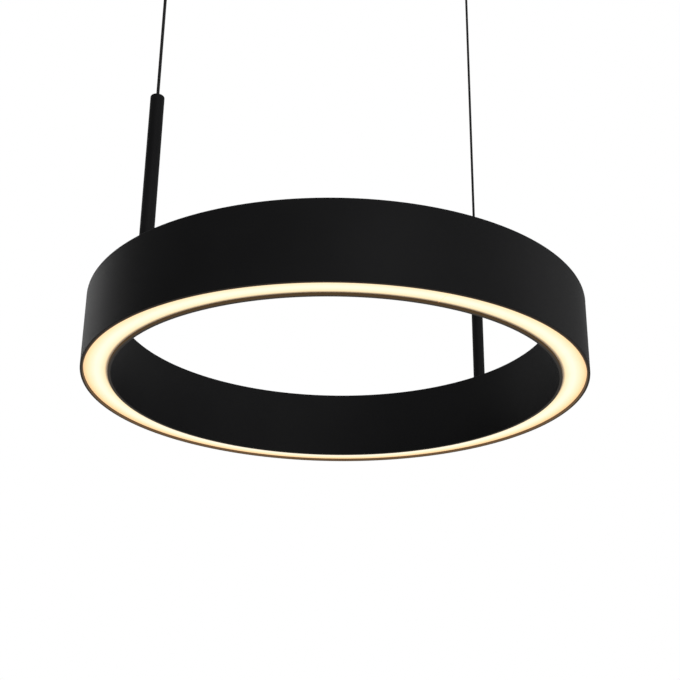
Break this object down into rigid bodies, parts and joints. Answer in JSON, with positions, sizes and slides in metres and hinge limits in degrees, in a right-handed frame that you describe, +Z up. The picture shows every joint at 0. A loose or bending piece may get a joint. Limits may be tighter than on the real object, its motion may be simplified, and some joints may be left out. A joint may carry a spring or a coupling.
{
  "type": "led ring chandelier",
  "caption": "Black pendant ring with a warm light strip in its underside, thin rods standing on it and taut cables that go up to a long ceiling canopy with cable grippers.",
  "frame": {"origin": "centre of the two ceiling screws, on the ceiling plane, above the middle of the ring", "axes": "+Z up into the ceiling, X along the canopy through both cables, Y across the canopy"},
  "size_m": [0.5048, 0.48, 0.7],
  "materials": {
    "housing": "matt black powder coat",
    "rod": "matt black powder coat",
    "steel_black": "matt black powder coat",
    "opal": "satin opal, lit from behind",
    "aluminium": "mill finish",
    "steel": "bright zinc plated",
    "board": "white solder mask",
    "chip": "yellow phosphor",
    "copper": "tinned copper",
    "terminal": "white",
    "cable": "black sheath over steel rope",
    "lead_black": "black insulation",
    "lead_white": "white insulation",
    "lead_earth": "green and yellow insulation",
    "rubber": "soft black",
    "nickel": "nickel plated",
    "zinc": "galvanised sheet",
    "driver": "white moulded case",
    "black_screw": "black zinc"
  },
  "bodies": {
    "canopy": {"canopy_housing": "steel_black", "ceiling_bracket": "zinc", "canopy_end_screws": "black_screw", "led_driver": "driver", "driver_screws": "steel", "terminal_block": "terminal", "terminal_screws": "steel", "earth_screw": "steel", "earth_lead": "lead_earth", "driver_input_leads": "lead_white", "driver_output_leads": "lead_black", "entry_grommet": "rubber", "output_connectors": "terminal", "gripper_nuts": "steel", "gripper_body_left": "steel_black", "gripper_spring_left": "steel", "cable_tail_left": "cable", "gripper_body_right": "steel_black", "gripper_spring_right": "steel", "cable_tail_right": "cable"},
    "suspension": {"suspension_cable_left": "cable", "suspension_cable_right": "cable"},
    "cable_ends": {"ball_stop_left": "nickel", "ball_stop_right": "nickel"},
    "ring": {"ring_housing": "housing", "diffuser": "opal", "led_tray": "aluminium", "tray_clamps": "aluminium", "tray_screws": "steel", "led_chips": "chip", "board_links": "copper", "foot_washers": "steel", "foot_nuts": "steel", "led_board_1": "board", "led_board_2": "board", "led_board_3": "board", "led_board_4": "board", "led_board_5": "board", "led_board_6": "board", "feed_terminal_left": "terminal", "rod_tube_left": "rod", "rod_cap_left": "rod", "rod_foot_left": "aluminium", "rod_lead_left": "lead_white", "feed_terminal_right": "terminal", "rod_tube_right": "rod", "rod_cap_right": "rod", "rod_foot_right": "aluminium", "rod_lead_right": "lead_white"},
    "release_left": {"gripper_plunger_left": "nickel", "gripper_jaws_left": "steel"},
    "release_right": {"gripper_plunger_right": "nickel", "gripper_jaws_right": "steel"}
  },
  "joints": [
    {"name": "cable_swing", "type": "hinge", "parent": "canopy", "child": "suspension", "pos_m": [0, 0, -0.056], "axis": [1, 0, 0], "range_deg": [-12, 12]},
    {"name": "height_adjust", "type": "slide", "parent": "suspension", "child": "cable_ends", "axis": [0, 0, 1], "range_m": [0, 0.2], "deforming": ["suspension_cable_left", "suspension_cable_right"]},
    {"name": "ring_tilt", "type": "hinge", "parent": "cable_ends", "child": "ring", "pos_m": [0, 0, -0.489], "axis": [1, 0, 0], "range_deg": [-10, 10]},
    {"name": "release_left", "type": "slide", "parent": "canopy", "child": "release_left", "axis": [0, 0, 1], "range_m": [0, 0.002], "stiffness_N_per_m": 400, "springref_m": -0.003, "deforming": ["gripper_spring_left"]},
    {"name": "release_right", "type": "slide", "parent": "canopy", "child": "release_right", "axis": [0, 0, 1], "range_m": [0, 0.002], "stiffness_N_per_m": 400, "springref_m": -0.003, "deforming": ["gripper_spring_right"]}
  ]
}
